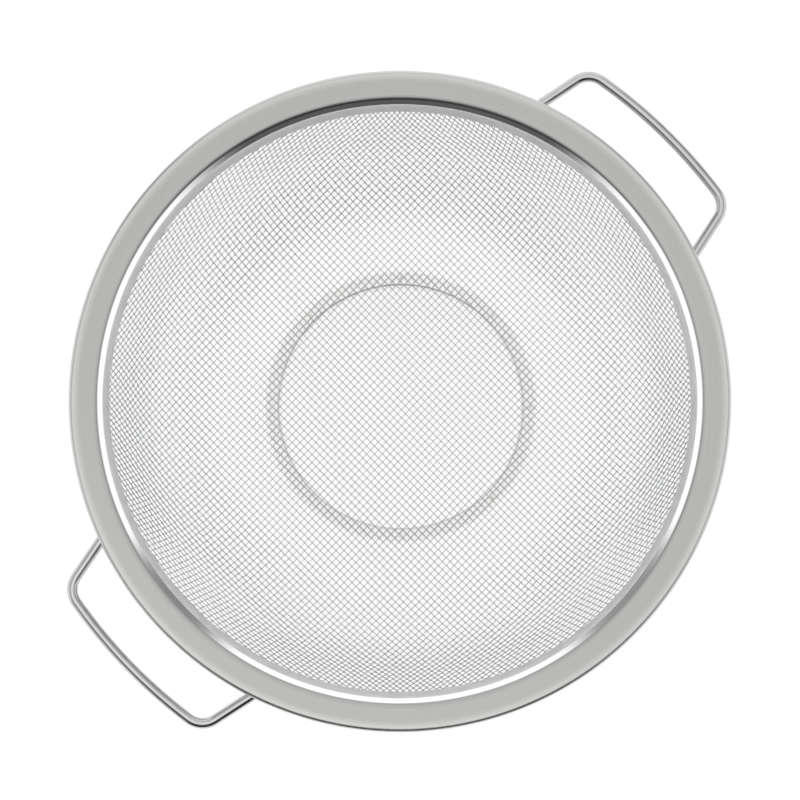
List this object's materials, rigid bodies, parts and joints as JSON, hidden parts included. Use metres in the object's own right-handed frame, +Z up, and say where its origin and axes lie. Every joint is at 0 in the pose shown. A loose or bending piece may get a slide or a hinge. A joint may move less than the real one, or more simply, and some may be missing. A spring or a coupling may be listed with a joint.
{
  "type": "mesh strainer",
  "caption": "Round kitchen strainer: a wide flat steel rim holds a shallow woven wire bowl on a foot ring, with a bent wire loop handle on either side.",
  "frame": {"origin": "on the ground under the middle of the foot ring", "axes": "+X towards the right handle, +Y across the bowl, +Z up"},
  "size_m": [0.2904, 0.25, 0.0645],
  "materials": {
    "satin_steel": "fine satin, brushed round the ring",
    "matte_steel": "matte",
    "bright_wire": "bright drawn wire",
    "polished_wire": "polished",
    "weld_steel": "cleaned weld metal"
  },
  "bodies": {
    "root": {"rim": "satin_steel", "clamp_ring": "matte_steel", "mesh_bowl": "bright_wire", "foot_ring": "satin_steel", "handle_right": "polished_wire", "handle_left": "polished_wire", "handle_right_weld_a": "weld_steel", "handle_right_weld_b": "weld_steel", "handle_left_weld_a": "weld_steel", "handle_left_weld_b": "weld_steel", "rim_spot_weld_01": "weld_steel", "rim_spot_weld_02": "weld_steel", "rim_spot_weld_03": "weld_steel", "rim_spot_weld_04": "weld_steel", "rim_spot_weld_05": "weld_steel", "rim_spot_weld_06": "weld_steel", "rim_spot_weld_07": "weld_steel", "rim_spot_weld_08": "weld_steel", "rim_spot_weld_09": "weld_steel", "rim_spot_weld_10": "weld_steel", "rim_spot_weld_11": "weld_steel", "rim_spot_weld_12": "weld_steel", "foot_spot_weld_01": "weld_steel", "foot_spot_weld_02": "weld_steel", "foot_spot_weld_03": "weld_steel", "foot_spot_weld_04": "weld_steel", "foot_spot_weld_05": "weld_steel", "foot_spot_weld_06": "weld_steel", "foot_spot_weld_07": "weld_steel", "foot_spot_weld_08": "weld_steel"}
  },
  "joints": []
}
